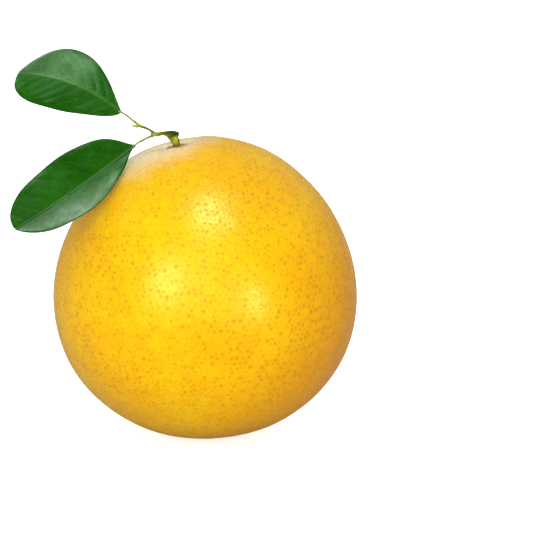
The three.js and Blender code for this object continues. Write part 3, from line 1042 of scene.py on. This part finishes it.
view = {
    "tilt": math.radians(13),
    "distance": 700 * mm,
    "across": 23.5 * mm,  # how far right of the fruit and above its middle the camera aims
    "above": 7 * mm,
    "spanAcross": 196.7 * mm,
    "sensor": 36,
}
viewRight = Vector((1, 0, 0))
viewUp = Vector((0, math.sin(view["tilt"]), math.cos(view["tilt"])))
viewBack = Vector((0, -math.cos(view["tilt"]), math.sin(view["tilt"])))


def makeCamera():
    data = bpy.data.cameras.new("camera")
    data.sensor_width = view["sensor"]
    data.lens = view["sensor"] * view["distance"] / view["spanAcross"]
    data.clip_start = 0.01
    data.clip_end = 50
    made = bpy.data.objects.new("camera", data)
    scene.collection.objects.link(made)
    aim = fruitCentre + viewRight * view["across"] + viewUp * view["above"]
    place = aim + viewBack * view["distance"]
    made.matrix_world = Matrix.LocRotScale(place, viewBack.to_track_quat("Z", "Y"), None)
    return made


camera = makeCamera()
scene.camera = camera
print("camera ready")


studio = {
    "floorSize": 12,
    "floorPaint": (0.42, 0.4, 0.36, 1),  # what the fruit picks up from the floor
    "floorSeen": (0.85, 0.85, 0.85, 1),  # what the camera sees of it
    "floorGlow": 0.72,
    "floorGleam": 0.14,
    "floorLevel": -0.2 * mm,
    "frontFill": 0.2,
    "backFill": 1.0,
    "skyDark": 0.01,
    "backWall": 0.3,
}


def makeFloorPaper():
    material, tree, shader = newMaterial("floorPaper")
    shader.inputs["Roughness"].default_value = 0.9
    shader.inputs["Specular IOR Level"].default_value = 0.1
    rays = addNode(tree, "ShaderNodeLightPath", (500, -600))
    seen, diffuse = rays.outputs["Is Camera Ray"], rays.outputs["Is Diffuse Ray"]
    paper = mixColour(tree, seen, studio["floorPaint"], studio["floorSeen"], (600, 100))
    join(tree, paper, shader.inputs["Base Color"])
    glow = addNode(tree, "ShaderNodeEmission", (900, -600))
    glow.inputs["Color"].default_value = (1, 1, 1, 1)
    seenGlow = mathNode(tree, "MULTIPLY", seen, studio["floorGlow"], (600, -700))
    litGlow = mathNode(tree, "MULTIPLY", diffuse, studio["floorGleam"], (600, -850))
    join(tree, mathNode(tree, "ADD", seenGlow, litGlow, (750, -750)), glow.inputs["Strength"])
    both = addNode(tree, "ShaderNodeAddShader", (1050, -100))
    join(tree, shader.outputs[0], both.inputs[0])
    join(tree, glow.outputs[0], both.inputs[1])
    clear = addNode(tree, "ShaderNodeBsdfTransparent", (1050, -300))
    side = addNode(tree, "ShaderNodeNewGeometry", (1050, 200))
    seenFromBelow = addNode(tree, "ShaderNodeMixShader", (1250, 0))
    join(tree, side.outputs["Backfacing"], seenFromBelow.inputs[0])
    join(tree, both.outputs[0], seenFromBelow.inputs[1])
    join(tree, clear.outputs[0], seenFromBelow.inputs[2])
    join(tree, seenFromBelow.outputs[0], tree.nodes["Material Output"].inputs["Surface"])
    return material


def makeFloor():
    bm = bmesh.new()
    bmesh.ops.create_grid(bm, x_segments=1, y_segments=1, size=studio["floorSize"] / 2)
    mesh = bpy.data.meshes.new("floor")
    bm.to_mesh(mesh)
    bm.free()
    mesh.materials.append(makeFloorPaper())
    floor = bpy.data.objects.new("floor", mesh)
    floor.location.z = studio["floorLevel"]
    scene.collection.objects.link(floor)


def makeSky():  # white behind the fruit, with a softer fill from the front and its own gloss
    sky = bpy.data.worlds.new("studio")
    sky.use_nodes = True
    scene.world = sky
    tree = sky.node_tree
    background = tree.nodes["Background"]
    where = addNode(tree, "ShaderNodeTexCoord", (-1000, 0))
    split = addNode(tree, "ShaderNodeSeparateXYZ", (-800, 150))
    join(tree, where.outputs["Generated"], split.inputs[0])
    fill = spread(tree, split.outputs[1], -0.8, 0.6, studio["frontFill"], studio["backFill"], (-600, 300))
    gloss = spread(tree, split.outputs[1], 0.05, 0.8, studio["skyDark"], studio["backWall"], (-600, 150))
    rays = addNode(tree, "ShaderNodeLightPath", (-600, 500))
    given = mixValue(tree, rays.outputs["Is Glossy Ray"], fill, gloss, (-200, 100))
    strength = mixValue(tree, rays.outputs["Is Camera Ray"], given, 1.0, (0, 100))
    join(tree, strength, background.inputs["Strength"])
    background.inputs["Color"].default_value = (1, 1, 1, 1)


def onlyFor(name, pieces):
    group = bpy.data.collections.new(name)
    for piece in pieces:
        group.objects.link(piece)
    return group


def areaLight(name, place, way, width, height, power):
    data = bpy.data.lights.new(name, "AREA")
    data.shape = "RECTANGLE"
    data.size = width
    data.size_y = height
    data.energy = power
    lamp = bpy.data.objects.new(name, data)
    scene.collection.objects.link(lamp)
    lamp.matrix_world = Matrix.LocRotScale(place, way.to_track_quat("Z", "Y"), None)
    return lamp


# Each stands where its gloss falls on one spot of the fruit, given as shares of the radius.
glossLights = {
    "topGloss": {"right": 0.07, "up": 0.46, "distance": 0.65, "width": 0.2, "height": 0.27, "power": 4.6},
    "leftGloss": {"right": -0.22, "up": 0.05, "distance": 0.75, "width": 0.24, "height": 0.32, "power": 4},
    "rightGloss": {"right": 0.32, "up": -0.07, "distance": 0.75, "width": 0.16, "height": 0.24, "power": 3.3},
}


def addGlossLight(name, lamp):
    facing = math.sqrt(1 - lamp["right"] ** 2 - lamp["up"] ** 2)
    normal = viewRight * lamp["right"] + viewUp * lamp["up"] + viewBack * facing
    spot = fruitCentre + normal * fruitRadius
    toCamera = (camera.matrix_world.translation - spot).normalized()
    way = (normal * 2 * normal.dot(toCamera) - toCamera).normalized()
    made = areaLight(name, spot + way * lamp["distance"], way, lamp["width"], lamp["height"], lamp["power"])
    made.visible_diffuse = False
    made.light_linking.receiver_collection = onlyFor("fruit in gloss", [fruitPiece, buttonPiece])


# Small round lamps that only put the sheen on the blades.
leafLights = {
    "upperSheen": {"leaf": upperLeaf, "way": (-0.32, -0.15, 0.94),
                   "distance": 0.6, "size": 0.28, "power": 1.1},
    "lowerSheen": {"leaf": lowerLeaf, "way": (-0.4, 0.5, 0.78),
                   "distance": 0.6, "size": 0.28, "power": 1.05},
}


def addLeafLight(name, lamp):
    way = unitVector(*lamp["way"])
    place = lamp["leaf"]["start"] + way * lamp["distance"]
    made = areaLight(name, place, way, lamp["size"], lamp["size"], lamp["power"])
    made.data.shape = "DISK"
    made.visible_diffuse = False
    made.light_linking.receiver_collection = onlyFor("leaf in gloss", [upperPiece, lowerPiece])


# Big soft lamps without gloss, in front and behind. The thin blades cast no shadow from them.
matteLights = {
    "keyLight": {"way": (-0.06, 0.13, 1), "distance": 0.9, "size": 0.7, "power": 8},
    "backLight": {"way": (0.2, 0.35, -1), "distance": 0.9, "size": 0.7, "power": 4.6},
}


def addMatteLight(name, lamp):
    right, up, back = lamp["way"]
    way = (viewRight * right + viewUp * up + viewBack * back).normalized()
    place = fruitCentre + way * lamp["distance"]
    made = areaLight(name, place, way, lamp["size"], lamp["size"], lamp["power"])
    made.visible_glossy = False
    made.light_linking.blocker_collection = onlyFor("shadow makers", [fruitPiece, twigPiece])


makeFloor()
makeSky()
for name, lamp in glossLights.items():
    addGlossLight(name, lamp)
for name, lamp in leafLights.items():
    addLeafLight(name, lamp)
for name, lamp in matteLights.items():
    addMatteLight(name, lamp)
print("studio ready")
